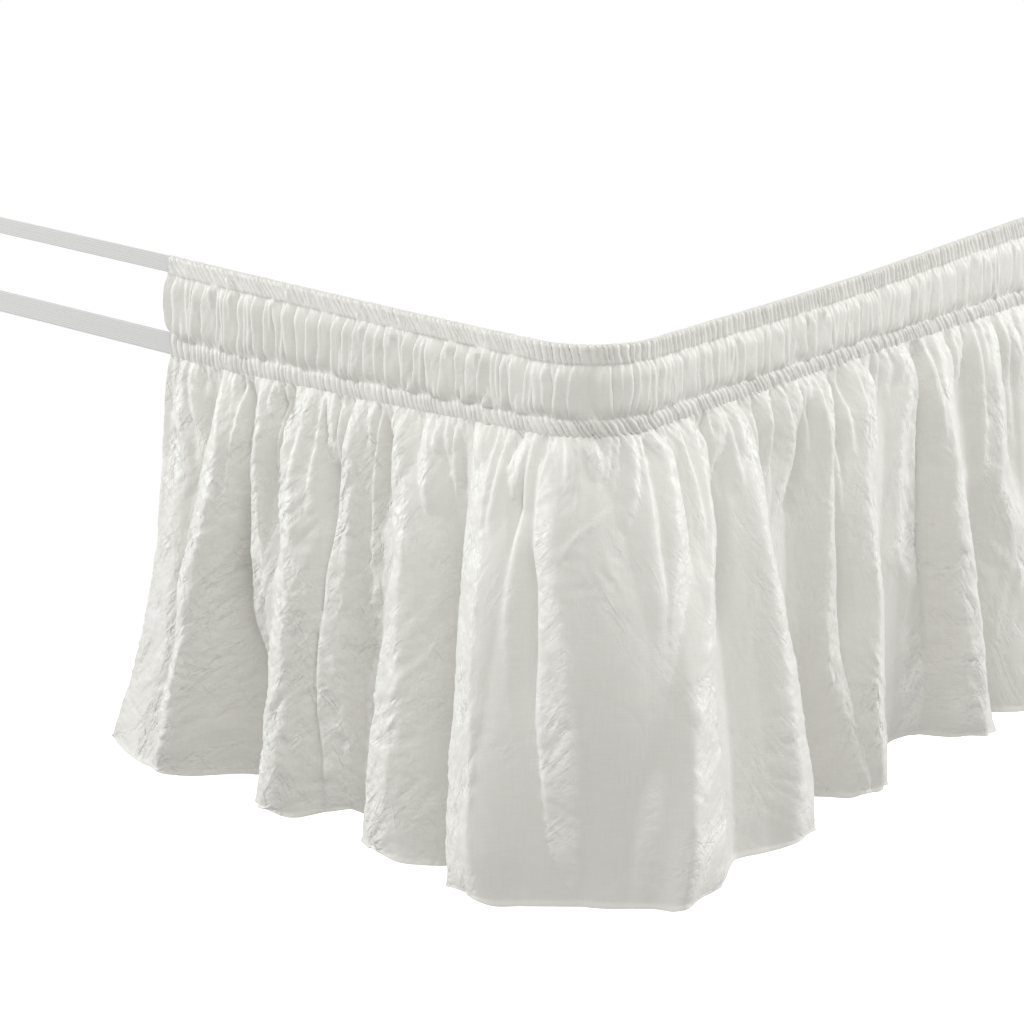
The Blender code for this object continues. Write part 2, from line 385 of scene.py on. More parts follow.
def grid_mesh(name, points, u, v, crumple, ridge):
    """A sheet from points[row, column], with flat UVs and two point attributes."""
    rows, columns = points.shape[:2]
    quads = grid_quads(rows, columns)
    mesh = bpy.data.meshes.new(name)
    mesh.vertices.add(rows * columns)
    mesh.vertices.foreach_set("co", listed(points))
    mesh.loops.add(quads.size)
    mesh.loops.foreach_set("vertex_index", listed(quads, np.int32))
    mesh.polygons.add(len(quads))
    mesh.polygons.foreach_set("loop_start", np.arange(0, quads.size, 4, dtype=np.int32))
    mesh.update(calc_edges=True)
    mesh.shade_smooth()
    ends = np.empty(len(mesh.edges) * 2, dtype=np.int32)
    mesh.edges.foreach_get("vertices", ends)
    rim = np.zeros(len(mesh.edges), bool)
    for place, last in zip(np.divmod(ends.reshape(-1, 2), columns), (rows - 1, columns - 1)):
        rim |= (place[:, 0] == place[:, 1]) & np.isin(place[:, 0], (0, last))
    mesh.attributes.new("sharp_edge", "BOOLEAN", "EDGE").data.foreach_set("value", rim)
    flat = np.stack([u, v], axis=-1).reshape(-1, 2)[quads]
    mesh.uv_layers.new(name="flat_cloth").data.foreach_set("uv", listed(flat))
    for kind, amounts in (("crumple", crumple), ("ridge", ridge)):
        mesh.attributes.new(kind, "FLOAT", "POINT").data.foreach_set("value", listed(amounts))
    made = add_object(name, mesh)
    thick = made.modifiers.new("Thickness", "SOLIDIFY")
    thick.thickness = CLOTH_THICK
    thick.offset = -1.0
    print(name, rows, "x", columns, "points,", len(quads) * 4, "triangles with both faces")
    return made


def surface_normals(points):
    """Unit normals of a grid: the cross product of its two finite differences."""
    down = np.gradient(points, axis=0)
    across = np.gradient(points, axis=1)
    normal = np.cross(down, across)
    return normal / np.maximum(np.linalg.norm(normal, axis=-1, keepdims=True), 1e-12)


# %% [markdown]
# ## The heading
#
# From the top: a channel whose cloth turns over the elastic, a strip of puffs, and
# a lower channel. The channels are packed with leaning pleats like small cords,
# and several open into each puff. The grid starts on the inside of the top channel,
# rolls over the edge and comes down the outside. Puffs are short folds that rise
# in an arch between the two rows of stitches.

# %% Shared pleat edges
PLEATS_TOP = spaced_edges(FREE_START - 0.02, FREE_END + 0.02, 0.0050, 0.45, seed=21)
PLEATS_LOW = spaced_edges(FREE_START - 0.02, FREE_END + 0.02, 0.0049, 0.45, seed=22)
PUFFS = spaced_edges(FREE_START - 0.004, FREE_END + 0.004, 0.0104, 0.60, seed=23)
# How far the pleats lean along the band for each metre down: wings and corner differ.
LEAN_PLACES = (FREE_START, -0.10, -0.02, 0.06, 0.60, 2.0, 3.5, 5.5, FREE_END)
LEAN_TOP = (0.75, 0.60, 0.20, 0.15, 0.40, 0.20, -0.30, -0.20, -0.50)
LEAN_LOW = (0.10, 0.35, 0.60, 0.65, 0.70, 0.20, -0.30, -0.20, -0.10)
CHANNEL_PLEAT = 0.0030
SEAM_WANDER = (0.0016, 0.009)  # how far the lower seams stray, over what length
print(len(PLEATS_TOP), "pleats in the top channel,", len(PUFFS), "puffs")


def heading_levels(along):
    """Heights of the top edge, strip top, lower channel's top and foot at `along`."""
    places, tops, depths, channels = HEADING_ROWS.T
    top = smooth_through(along, places, tops)
    channel_top = top - smooth_through(along, places, depths)
    channel_foot = channel_top - smooth_through(along, places, channels)
    strip_top = top - UPPER_CHANNEL + wander(along, 0.0007, 0.007, seed=37)
    channel_top = channel_top + wander(along, *SEAM_WANDER, seed=38)
    channel_foot = channel_foot + wander(along, *SEAM_WANDER, seed=39)
    return top, strip_top, channel_top, channel_foot


def channel_pleats(along, down, leans, edges, seed):
    """Cords (1 - |2f - 1|^2)^0.65 between edges that lean along the band going down."""
    lean = np.interp(along, LEAN_PLACES, leans)
    waver = 0.0022 * lattice_noise(along / 0.016, down / 0.009, seed + 5)
    hump = pleat_hump(along - lean * down + waver, edges, seed)
    return np.clip(hump, 0, None) ** 0.65 - 0.75


# %% Puffs as overlapping folds
PUFF_BULGE = 0.0008
PUFF_SINK = 0.0026  # the puffs' mean height, taken off again
PUFF_TALLEST = 0.0075
LEFT_WING = (-0.12, -0.04)  # the puffs deepen between these, away from the corner
PUFF_NEAR = 0.03  # as far as a puff fold reaches along the band
PUFF_BACK = 0.0013  # run of its steep back
PUFF_STRAY = 0.0018
WHOLE_SHARE = 0.15  # this share of the second folds span the whole strip
WHOLE_NEAR = 0.07  # this near to a corner they all do


def puff_rows():
    """Crest, span of the strip, height, ribbon, bow, slant, width and side of each fold."""
    rng = np.random.default_rng(31)
    made = []
    for here, beyond in zip(PUFFS[:-1], PUFFS[1:]):
        gap = beyond - here
        side, tilt = fold_side(0.5 * (here + beyond), rng)
        crest = here if side < 0 else beyond
        deeper = np.interp(here, LEFT_WING, (1.25, 1.0))
        height = min(tilt * gap * rng.uniform(0.9, 1.3), PUFF_TALLEST) * deeper
        bow, slant = rng.uniform(-0.0016, 0.0032) * side, rng.uniform(-0.0055, 0.0055)
        first, last = rng.uniform(-0.02, 0.05), 1 - rng.uniform(-0.02, 0.05)
        made.append((crest, first, last, height, rng.uniform(0.0014, 0.0030), bow, slant, gap, side))
        middle, part = here + rng.uniform(0.35, 0.65) * gap, rng.uniform(0.25, 0.55)
        kind = rng.random()
        if min(abs(here - corner) for corner in CORNERS) > WHOLE_NEAR and kind > WHOLE_SHARE:
            first, last = ((0.0, part), (1 - part, 1.0), (0.0, 0.0))[int(3 * rng.random())]
        if last > first:
            made.append((middle, first, last, 0.8 * height, 0.0016, bow, slant, 0.6 * gap, side))
    return made


PUFF_ROWS = puff_rows()


def puff_folds(line, share):
    """Highest of many short folds: an arch down the strip times a section across."""
    field = np.zeros((len(share), len(line)))
    for crest, first, last, height, ribbon, bow, slant, gap, side in PUFF_ROWS:
        near = slice(*np.searchsorted(line, (crest - PUFF_NEAR, crest + PUFF_NEAR)))
        if near.start == near.stop:
            continue
        w = unit((share - first) / (last - first))[:, None]
        arch = unit(np.sin(np.pi * w))
        rise = unit(np.minimum(w, 1 - w) / 0.26)
        rise = 1 - (1 - rise) ** 2
        stray = PUFF_STRAY * lattice_noise(w * 3, 0 * w + 50 * crest, seed=36)
        x = -side * (line[near] - crest - slant * (w - 0.5) - bow * arch - stray)
        panel = gap * (0.75 + 0.55 * arch)
        section = fold_section(x, PUFF_BACK, ribbon * (0.5 + 0.5 * arch), panel, height)
        field[:, near] = np.maximum(field[:, near], height * rise * section)
    return field


# %% The heading as a grid
ROLL_RADIUS = 0.0028
STITCH_DIP, STITCH_WIDTH = 0.0003, 0.0012
INNER_PLEAT, SEAM_PLEAT = 0.4, 0.65  # the pleats' share on the inside and at a seam
PLEAT_FADE = 0.050 / 0.0045  # the pleats fade over 4.5 mm of a 50 mm strip
LOW_BULGE = 0.0008
FREE_WIDTH = 0.016  # the puffs bulge past the free edges over this width
FINE_ROWS, COARSE_ROWS = (3, 5, 7, 16, 7), (1, 4, 3, 7, 3)  # inside, roll, channel, strip, channel


def heading_rows(levels, counts):
    """Height, mean way out, upper and lower pleats' shares and puff share of each row."""
    top, strip_top, channel_top, channel_foot = levels
    inner, roll, upper, strip, lower = counts
    roll_top, inside = top - ROLL_RADIUS, strip_top + 0.001
    rows = []
    for f in np.arange(inner) / inner:
        height = inside + (roll_top - inside) * f
        rows.append((height, BAND_OUT - 2 * ROLL_RADIUS, INNER_PLEAT, 0.0, 0.0))
    for f in np.arange(roll) / (roll - 1):
        height = roll_top + ROLL_RADIUS * np.sin(np.pi * f)
        out = BAND_OUT - ROLL_RADIUS * (1 + np.cos(np.pi * f))
        rows.append((height, out, INNER_PLEAT + (1 - INNER_PLEAT) * f, 0.0, 0.0))
    for f in np.arange(1, upper + 1) / upper:
        height = roll_top + (strip_top - roll_top) * f
        rows.append((height, BAND_OUT, 1 - (1 - SEAM_PLEAT) * f**4, 0.0, 0.0))
    for f in 0.5 - 0.5 * np.cos(np.pi * np.arange(1, strip) / strip):
        fades = SEAM_PLEAT * np.exp(-PLEAT_FADE * f), SEAM_PLEAT * np.exp(-PLEAT_FADE * (1 - f))
        rows.append((strip_top + (channel_top - strip_top) * f, BAND_OUT, *fades, f))
    for f in np.arange(lower + 1) / lower:
        height = channel_top + (channel_foot - channel_top) * f
        share = 1 - (1 - SEAM_PLEAT) * abs(2 * f - 1) ** 4
        rows.append((height, BAND_OUT + LOW_BULGE * np.sin(np.pi * f), 0.0, share, 0.0))
    heights, *others = zip(*rows)
    return [np.array(heights)] + [np.array(other)[:, None] for other in others]


def heading_grid(start, end, step, counts):
    """Points, flat coordinates, crumple and ridge of the heading from start to end."""
    along = np.linspace(start, end, int(round((end - start) / step)) + 1)
    levels = heading_levels(along)
    top, _, channel_top, _ = levels
    height, out, upper, lower, share = heading_rows(levels, counts)
    across = np.broadcast_to(along, height.shape)
    tight_top = channel_pleats(across, top - height, LEAN_TOP, PLEATS_TOP, seed=41)
    tight_low = channel_pleats(across, channel_top - height, LEAN_LOW, PLEATS_LOW, seed=42)
    out = out + CHANNEL_PLEAT * (tight_top * upper + tight_low * lower)
    height = height + 0.0015 * tight_top * unit((height - top) / 0.004 + 1)
    shares = np.broadcast_to(share, height.shape)
    arch = unit(np.sin(np.pi * shares))
    crush = creased_noise(across / 0.009, shares * 2.0, seed=33) - 0.5
    uneven = 1 + 0.5 * lattice_noise(across / 0.03, shares * 1.3, seed=35)
    out = out + arch * PUFF_BULGE * uneven + puff_folds(along, share[:, 0])
    out = out - PUFF_SINK * np.interp(along, LEFT_WING, (1.6, 1.0)) * arch**0.5
    out = out + arch**0.6 * 0.0007 * crush
    for seam in levels[1:]:
        out = out - STITCH_DIP * bell(height - seam, STITCH_WIDTH)
    bulge = bell(across - FREE_START, FREE_WIDTH) - bell(across - FREE_END, FREE_WIDTH)
    points, _ = off_band(across - 0.003 * bulge * arch, out, height)
    path = np.concatenate([[0.0], np.cumsum(np.abs(np.diff(height.mean(axis=1))))])
    v = np.broadcast_to(-path[:, None], height.shape)
    # The last grid is the ridge attribute: a painted highlight along the puffs' crease lines.
    return points, across * FULLNESS, v, 0.12 + 0.14 * arch, 0.3 * arch * crush


# %% [markdown]
# ## The drop
#
# Below the lower channel the cloth opens step by step. Tight pleats fade within
# a centimetre. Gathers run on as folds that lie over each other like leaves. Some
# die out after a few centimetres and the longest reach the hem. The long folds
# that the eye meets first are listed one by one, and the others are seeded.


# %% Long folds listed one by one
def folds_in_metres(folds):
    """Folds written in millimetres and percent of the drop, in metres and shares."""
    units = (1000, 100, 1000, 1000, 1000, 1)
    return [[np.array(value) / unit for value, unit in zip(fold, units)] for fold in folds]


# Each fold: along, percent of the drop and ribbon down its crest, then height, panel, side.
LONG_FOLDS = folds_in_metres([
    ((-448, -453, -452, -457), (0, 15, 30, 55), (3, 8, 10, 10), 7, 14, -1),
    ((-436, -434, -422, -424), (0, 9, 18, 28), (3, 4, 4, 4), 8, 13, -1),
    ((-398, -392, -398, -403, -405, -396, -394), (0, 9, 22, 36, 50, 66, 100), (3, 5, 16, 18, 12, 12, 12),
     18, 34, -1),
    ((-388, -382, -384), (0, 10, 22), (3, 4, 4), 9, 14, -1),
    ((-352, -346, -345, -346, -346, -341, -330, -322), (0, 10, 26, 40, 52, 64, 78, 95),
     (3, 4, 6, 14, 20, 14, 8, 4), 28, 22, -1),
    ((-300, -306, -303, -296, -295, -291, -291), (0, 12, 24, 36, 60, 80, 100), (3, 6, 12, 14, 16, 14, 10),
     19, 36, -1),
    ((-272, -268, -280, -297), (0, 10, 18, 28), (3, 6, 14, 16), 10, 16, -1),
    ((-242, -245, -247, -253, -255, -251, -250), (0, 10, 26, 42, 65, 85, 160), (3, 6, 10, 12, 12, 14, 12),
     21, 28, -1),
    ((-227, -232, -242, -246), (0, 12, 25, 38), (3, 6, 8, 4), 10, 15, -1),
    ((-202, -186, -178, -173, -174, -179, -179, -179), (0, 8, 20, 34, 46, 60, 80, 100),
     (4, 8, 12, 10, 12, 18, 16, 10), 18, 32, -1),
    ((-164, -163, -165, -167), (0, 10, 20, 34), (4, 10, 14, 8), 14, 20, -1),
    ((-140, -139, -137), (0, 12, 26), (2, 4, 4), 7, 12, -1),
    ((-112, -106, -103, -100, -103, -100), (0, 14, 36, 52, 72, 160), (6, 20, 27, 26, 38, 36), 14, 50, -1),
    ((-58, -68, -72, -82), (0, 8, 18, 34), (3, 8, 10, 8), 10, 34, -1),
    ((-30, -38, -36, -30, -29, -25, -24), (0, 8, 20, 36, 60, 84, 110), (4, 8, 9, 10, 14, 12, 8), 21, 85,
     -1),
    ((46, 58, 57, 56, 49, 45, 44), (0, 6, 14, 24, 36, 60, 160), (3, 6, 8, 10, 12, 14, 16), 12, 20, 1),
    ((90, 96, 94, 93, 82, 76, 67, 67, 72, 73), (0, 6, 14, 24, 33, 43, 54, 70, 90, 160),
     (3, 5, 6, 10, 14, 18, 20, 22, 26, 26), 18, 26, 1),
    ((128, 126, 118, 108), (0, 7, 14, 24), (3, 6, 6, 4), 10, 16, 1),
    ((150, 155, 154, 151, 151, 153, 153, 153), (0, 6, 16, 30, 44, 60, 80, 160),
     (3, 8, 8, 6, 7, 10, 14, 16), 16, 40, 1),
    ((197, 193, 192, 180), (0, 8, 16, 28), (3, 6, 6, 6), 12, 22, 1),
    ((237, 233, 226, 214, 202, 188), (0, 5, 12, 21, 30, 42), (3, 8, 10, 10, 8, 4), 15, 26, 1),
    ((253, 252, 250), (0, 8, 16), (2, 4, 2), 7, 12, 1),
    ((272, 268, 263, 262, 262, 267, 279, 292), (0, 10, 24, 40, 56, 68, 83, 100),
     (3, 5, 6, 6, 12, 16, 10, 6), 18, 30, 1),
    ((322, 328, 325, 318, 314, 315, 314, 311, 311, 318, 318), (0, 6, 12, 26, 38, 52, 66, 78, 90, 100, 160),
     (4, 10, 18, 18, 14, 12, 18, 20, 15, 12, 12), 17, 32, 1),
    ((365, 372, 379, 384), (0, 7, 20, 34), (3, 5, 6, 4), 8, 20, 1),
    ((392, 398, 401, 402, 400, 401, 403, 402), (0, 8, 20, 32, 50, 58, 70, 100),
     (4, 8, 20, 22, 16, 8, 12, 8), 19, 30, 1),
    ((440, 446, 444, 440, 435, 434, 435, 434, 434, 436), (0, 4, 12, 18, 30, 50, 60, 72, 84, 160),
     (4, 10, 15, 12, 9, 10, 15, 12, 17, 16), 17, 30, 1),
    ((476, 473, 464, 448), (0, 7, 14, 22), (3, 4, 4, 3), 12, 20, 1),
    ((520, 521, 520, 516, 519, 532, 544), (0, 8, 18, 32, 38, 52, 80), (4, 8, 10, 8, 16, 18, 10), 16, 30,
     1),
    ((548, 556, 564), (0, 10, 30), (3, 6, 6), 12, 20, 1),
])

# Short creases of the corner that ride on the long folds.
RIDERS = folds_in_metres([
    ((-22, -22, -18), (0, 10, 24), (2, 3, 2), 8, 12, -1),
    ((-12, -7, -10), (0, 5, 14), (3, 7, 5), 9, 12, -1),
    ((4, -6, -13), (6, 10, 14), (2, 4, 2), 7, 10, -1),
    ((16, 1, -13, -21, -23), (12, 16, 21, 28, 40), (2, 3, 3, 3, 3), 9, 8, 1),
    ((28, 34, 31, 22, 14), (0, 6, 12, 18, 28), (3, 9, 8, 5, 4), 12, 18, 1),
    ((10, 10, 4), (0, 8, 15), (2, 4, 2), 7, 10, 1),
    ((4, 0, 0), (23, 32, 42), (2, 4, 2), 4, 12, -1),
    ((24, 18, 16, 18), (66, 76, 90, 130), (2, 5, 4, 4), 5, 16, -1),
])


# %% Long folds everywhere, and the gathers between them
LONG_PITCH = 0.030
GATHERS = spaced_edges(FREE_START - 0.004, FREE_END + 0.004, 0.0138, 0.45, seed=26)
GATHER_CLEAR = 0.005  # a gather this close to a long fold's crest would hide it
GATHER_LENGTHS = (0.14, 0.24, 0.40, 0.62)
GATHER_TALLEST = 0.0100


def seeded_folds():
    """Long folds of seeded length, height and sway, where none is listed."""
    rng = np.random.default_rng(24)
    made = []
    for along in spaced_edges(HAND_END + 0.02, FREE_END, LONG_PITCH, 0.45, seed=25):
        length, height = rng.uniform(0.30, 1.0), rng.uniform(0.011, 0.018)
        sway = rng.uniform(-0.020, 0.020) * length
        side = fold_side(along, rng)[0]
        crest = (along, along + 0.4 * sway, along + sway)
        ribbon, panel = 0.004 + 0.008 * length, 0.016 + 0.018 * length
        made.append((crest, (0.0, length / 2, length), (0.003, ribbon, ribbon), height, panel, side))
    return made


def short_gathers(long_folds):
    """A short fold from each gather to the next, its panel as wide as the gap."""
    rng = np.random.default_rng(27)
    tops = np.sort([crest[0] for crest, levels, *_ in long_folds if levels[0] == 0.0])
    made = []
    for here, beyond in zip(GATHERS[:-1], GATHERS[1:]):
        gap = beyond - here
        side, tilt = fold_side(0.5 * (here + beyond), rng)
        crest = here if side < 0 else beyond
        length = rng.choice(GATHER_LENGTHS) * rng.uniform(0.8, 1.2)
        slant = rng.uniform(-0.012, 0.012) * length
        height = min(tilt * gap * rng.uniform(0.85, 1.15), GATHER_TALLEST)
        ribbon = rng.uniform(0.0015, 0.0040)
        if np.abs(tops - crest).min() > GATHER_CLEAR:
            crest = (crest, crest + slant)
            made.append((crest, (0.0, length), (0.001, ribbon), height, 1.15 * gap, side))
    return made


ALL_FOLDS = LONG_FOLDS + seeded_folds()
SHORT_FOLDS = RIDERS + short_gathers(ALL_FOLDS)
print(len(ALL_FOLDS), "long folds in the drop,", len(SHORT_FOLDS), "short ones")


# %% Heights of overlapping folds
CREST_STRAY = 0.0016
TALL = 0.012  # a fold taller than this fades late and leaves a hollow behind it
HOLLOW = 0.8  # how deep the cloth sinks there, for the fold's height
HOLLOW_PLACE, HOLLOW_WIDTH = 0.016, 0.012
LATE_START = 0.018  # length over which a fold grows that starts below the band
BACK_LEAST, BACK_SHARE = 0.0012, 0.22  # run of the steep back: least, and for the height
RIBBON_BLUR = 0.003


def fold_heights(line, share, drop, folds):
    """Highest of the folds on the drop less the hollows behind them, and the ribbons."""
    height = np.zeros((len(share), len(line)))
    ribbons, hollows = np.zeros_like(height), np.zeros_like(height)
    share = share[:, None]
    down = share * drop
    for *places, size, panel, side in folds:
        crest, levels, widths = np.array(places)
        reach = 2.2 * (panel + widths.max()) + 0.01
        near = slice(*np.searchsorted(line, (crest.min() - reach, crest.max() + reach)))
        if near.stop <= near.start:
            continue
        first, last = levels[0], levels[-1]
        below = np.clip(down - first * drop, 0, None)
        stray = CREST_STRAY * lattice_noise(share * 8, share * 0 + 60 * crest[0], seed=28)
        x = -side * (line[near] - (smooth_through(share, levels, crest) + stray))
        grown = settled(below, 0.9 * size if first == 0 else LATE_START)
        fading = (0.6 if size > TALL else 0.95) * (last - first)
        fade = ease((last - share) / max(fading, 0.05))
        if last == 1.0:  # a fold that reaches the hem melts into the big folds
            fade = 1 - 0.4 * share
        back = BACK_LEAST + BACK_SHARE * size * grown
        ridge = 0.0008 + smooth_through(share, levels, widths)
        width = panel * (0.30 + 0.70 * settled(below, 0.6 * panel)) * (1 + 0.8 * down)
        tallest = size * grown * fade
        lift = tallest * fold_section(x, back, ridge, width, size)
        past = np.clip((np.abs(x - 0.4 * ridge) - 0.6 * ridge) / RIBBON_BLUR, 0, 4)
        on_ribbon = unit(lift / 0.004) * unit(ridge / 0.006) * bell(past, 1)
        deep = HOLLOW * unit((size - TALL) / 0.006) * bell(x + HOLLOW_PLACE, HOLLOW_WIDTH)
        hollows[:, near] = np.maximum(hollows[:, near], tallest * deep)
        wins = lift > height[:, near]
        height[:, near] = np.where(wins, lift, height[:, near])
        ribbons[:, near] = np.where(wins, on_ribbon, ribbons[:, near])
    return height - hollows * unit(1 - height / 0.008), ribbons


# %% The drop as a grid
HEM_WIDTH, HEM_THICK = 0.0060, 0.0014
HEM_CURL, CURL_SPREAD = 0.007, 0.018  # how far the hem turns up at a crest, half width
HEM_SWAY, HEM_LIFT = 0.0025, 0.0018  # the hem's waver, and its clearance from the floor
CRINKLES = [
    # amount, then two slants: degrees, creases apart, their length, seed
    (0.0022, (56, 0.0090, 0.030, 55), (-60, 0.0095, 0.030, 58)),
    (0.0030, (30, 0.028, 0.080, 59), (-25, 0.030, 0.090, 60)),
]
FOLD_SINK = 0.0050  # the folds' mean height, taken off again
RIDING = 0.75  # how far a short fold is lifted by the long one under it
PLEATS_END = 0.013  # the tight pleats fade over this length below the channel
FLARE_POWER = 0.7
LEAN_POWERS = [
    # along, power of the share with which a thread leans: the free edges hang straighter
    (FREE_START, 2.6), (-0.40, 2.0), (-0.33, 1.3), (FREE_END - 0.14, 1.3), (FREE_END - 0.07, 2.0),
    (FREE_END, 2.6),
]
# Along, and how far the big folds are straight ramps between creases.
CRISPNESS = (0.015, 0.028, 0.060, 0.080), (0.45, 0.90, 0.90, 0.45)
CALM = [
    # along, how crumpled the cloth is there
    (FREE_START, 0.80), (-0.30, 0.75), (-0.15, 0.65), (-0.12, 0.45), (-0.09, 0.25), (-0.07, 0.04),
    (0.03, 0.02), (0.05, 0.35), (0.09, 0.30), (0.11, 0.16), (0.20, 0.22), (0.60, 0.26), (0.90, 0.30),
    (FREE_END, 0.45),
]
CRUMPLED = [
    # along, share of the drop, half width, half height in metres, how much more
    (-0.335, 0.52, 0.020, 0.080, 0.45),
    (-0.375, 0.88, 0.030, 0.070, 0.45),
    (-0.215, 0.50, 0.014, 0.090, 0.40),
    (0.285, 0.72, 0.022, 0.070, 0.30),
    (0.004, 0.30, 0.020, 0.040, 0.45),
]


def drop_rows(count):
    """Shares of the drop, closer under the band and at the rolled hem."""
    hem = 1 - np.array([0.0140, 0.0110, 0.0080, 0.0045, 0.0])
    return np.concatenate([np.linspace(0.0, 1.0, count) ** 1.10 * (1 - 0.0175), hem])


def main_surface(along, share):
    """The big folds alone, and the way out from the bed: threads slide and swing out."""
    tops, hems, reaches = CREASES.T
    lean = smooth_through(along, tops, hems - tops)
    crisp = np.interp(along, *CRISPNESS)
    reach = smooth_through(along, tops, reaches) * (1 - crisp) + crisp * np.interp(along, tops, reaches)
    place = along + lean * share ** np.interp(along, *zip(*LEAN_POWERS))
    out = BAND_OUT + (reach - BAND_OUT) * share**FLARE_POWER * settled(share, 0.09)
    return off_band(place, out, heading_levels(along)[3] * (1 - share))


def turned_creases(u, v, degrees, short, long, seed):
    """Creased noise stretched along a direction `degrees` from straight down."""
    turn = np.radians(degrees)
    across = u * np.cos(turn) - v * np.sin(turn)
    length = u * np.sin(turn) + v * np.cos(turn)
    return creased_noise(across / short, length / long, seed) - 0.5


def drop_crinkle(u, v):
    """Fine and broad creases on flat coordinates, that pass from one slant to another."""
    pick = unit(0.5 + 1.6 * lattice_noise(u / 0.07, v / 0.07, seed=57))
    total = 0.0
    for amount, first, second in CRINKLES:
        creases = turned_creases(u, v, *first) * pick + turned_creases(u, v, *second) * (1 - pick)
        total = total + amount * creases
    return total


def hem_curl(line, ribbon, share, step):
    """How far the hem turns up: its ribbons and free edges, blurred along it."""
    window = np.hanning(2 * int(CURL_SPREAD / step) + 3)
    crests = ribbon + np.exp((FREE_START - line) / 0.008) + np.exp((line - FREE_END) / 0.008)
    crests = np.pad(crests, len(window) // 2, mode="edge")
    blurred = np.convolve(crests, window / window.sum(), "valid")
    return HEM_CURL * blurred * unit((share - 0.93) / 0.07) ** 2


def drop_grid(start, end, step, count):
    """Points, flat coordinates, crumple and ridge of the drop from start to end."""
    line = np.linspace(start, end, int(round((end - start) / step)) + 1)
    rows = drop_rows(count)
    share, along = np.meshgrid(rows, line, indexing="ij")
    base, outward = main_surface(along, share)
    normal = surface_normals(base)
    drop = heading_levels(along)[3]
    down = drop * share  # metres below the lower channel

    channel = HEADING_ROWS[:, 3].mean()
    pleats = channel_pleats(along, channel + down, LEAN_LOW, PLEATS_LOW, seed=42)
    height = CHANNEL_PLEAT * pleats * np.exp(-down / PLEATS_END)
    folds, ribbon = fold_heights(line, rows, float(drop.mean()), ALL_FOLDS)
    riding, edges = fold_heights(line, rows, float(drop.mean()), SHORT_FOLDS)
    ribbon = np.maximum(ribbon, edges)
    sink = FOLD_SINK * settled(down, 0.016) * (0.4 + 0.6 * np.exp(-down / 0.20))
    low = 1 - 0.4 * ease((share - 0.86) / 0.14)  # the crests soften just above the hem
    height = height + low * np.maximum(folds, riding + RIDING * folds) - sink
    height = height - STITCH_DIP * np.exp(-down / 0.002)
    base = base + outward * height[..., None]  # out from the bed, also on a steep flank

    facing = np.abs((normal * outward).sum(axis=-1))
    patch = lattice_noise(along / 0.06, down / 0.09, seed=54)
    calm = np.interp(along, *zip(*CALM))
    crumple = calm * (0.75 + 0.5 * share) + 0.4 * (1 - facing**2) + 0.5 * patch
    for middle, level, wide, high, more in CRUMPLED:
        apart = ((along - middle) / wide) ** 2 + ((share - level) * drop / high) ** 2
        crumple = crumple + more * np.exp(-apart)
    crumple = np.clip(crumple, 0.06, 1.0)
    u, v = along * FULLNESS, -down
    height = settled(down, 0.02) * low * (crumple + 0.5 * ribbon) * drop_crinkle(u, v)
    height = height + HEM_THICK * ease(1 - (1 - share) * drop / HEM_WIDTH)
    points = base + normal * height[..., None]
    curl = hem_curl(line, ribbon[-1], share, step)
    lift = np.clip(wander(along, HEM_SWAY, 0.05, seed=61) + HEM_LIFT, 0, None)
    points[..., 2] += lift * share**2 + curl
    points = points - 0.8 * curl[..., None] * outward
    points[..., 2] = np.maximum(points[..., 2], 0.0)
    # The first row is tucked up behind the channel, so no gap shows at the stitches.
    tuck = points[0] - 0.0015 * outward[0] + (0, 0, 0.003)
    crumple = np.clip(crumple + 0.60 * ribbon, 0, 1.2)  # ribbons are creased finer than the grid
    # The ribbon grid is the ridge attribute, a painted highlight on the crest ribbons.
    firsts = (tuck, u[0], v[0] + 0.003, crumple[0], ribbon[0])
    grids = (points, u, v, crumple, ribbon)
    return [np.concatenate([first[None], grid]) for first, grid in zip(firsts, grids)]


# %% Cut the cloth into panels that share their edges
HEADING_DEPTH, DROP_DEPTH = 0.095, 0.385  # of flat cloth
PANELS = [
    # name, from, to, step along, rows in each part of the heading or in the drop
    ("heading_head_return", FREE_START, 0.040, 0.00080, FINE_ROWS),
    ("heading_corner", 0.040, 0.640, 0.00082, FINE_ROWS),
    ("heading_long_side", 0.640, 3.300, 0.0024, COARSE_ROWS),
    ("heading_far_side", 3.300, FREE_END, 0.0024, COARSE_ROWS),
    ("drop_head_return", FREE_START, -0.116, 0.0015, 138),
    ("drop_corner", -0.116, 0.334, 0.0015, 138),
    ("drop_long_side", 0.334, 0.900, 0.0020, 110),
    ("drop_foot_side", 0.900, 3.500, 0.0060, 40),
    ("drop_far_side", 3.500, FREE_END, 0.0060, 40),
]
cloth_pieces = []
for name, start, end, step, rows in PANELS:
    in_heading = name.startswith("heading")
    grids = (heading_grid if in_heading else drop_grid)(start, end, step, rows)
    piece = grid_mesh(name, *grids)
    cloth_pieces.append((piece, start, end, HEADING_DEPTH if in_heading else DROP_DEPTH))

# %% [markdown]
# ## The elastics
#
# Two flat knitted elastics run on from the channels across the open head end. Their
# lengthwise ribs show near by, so each is a closed ribbon: a rounded, ribbed
# outline carried along a straight path into the channels at both ends.

# %% Ribbed ribbons
ELASTIC_THICK = 0.0012
RIB_DEPTH = 0.45  # of the half thickness
TUCK = 0.006  # length hidden in the gathers at each end


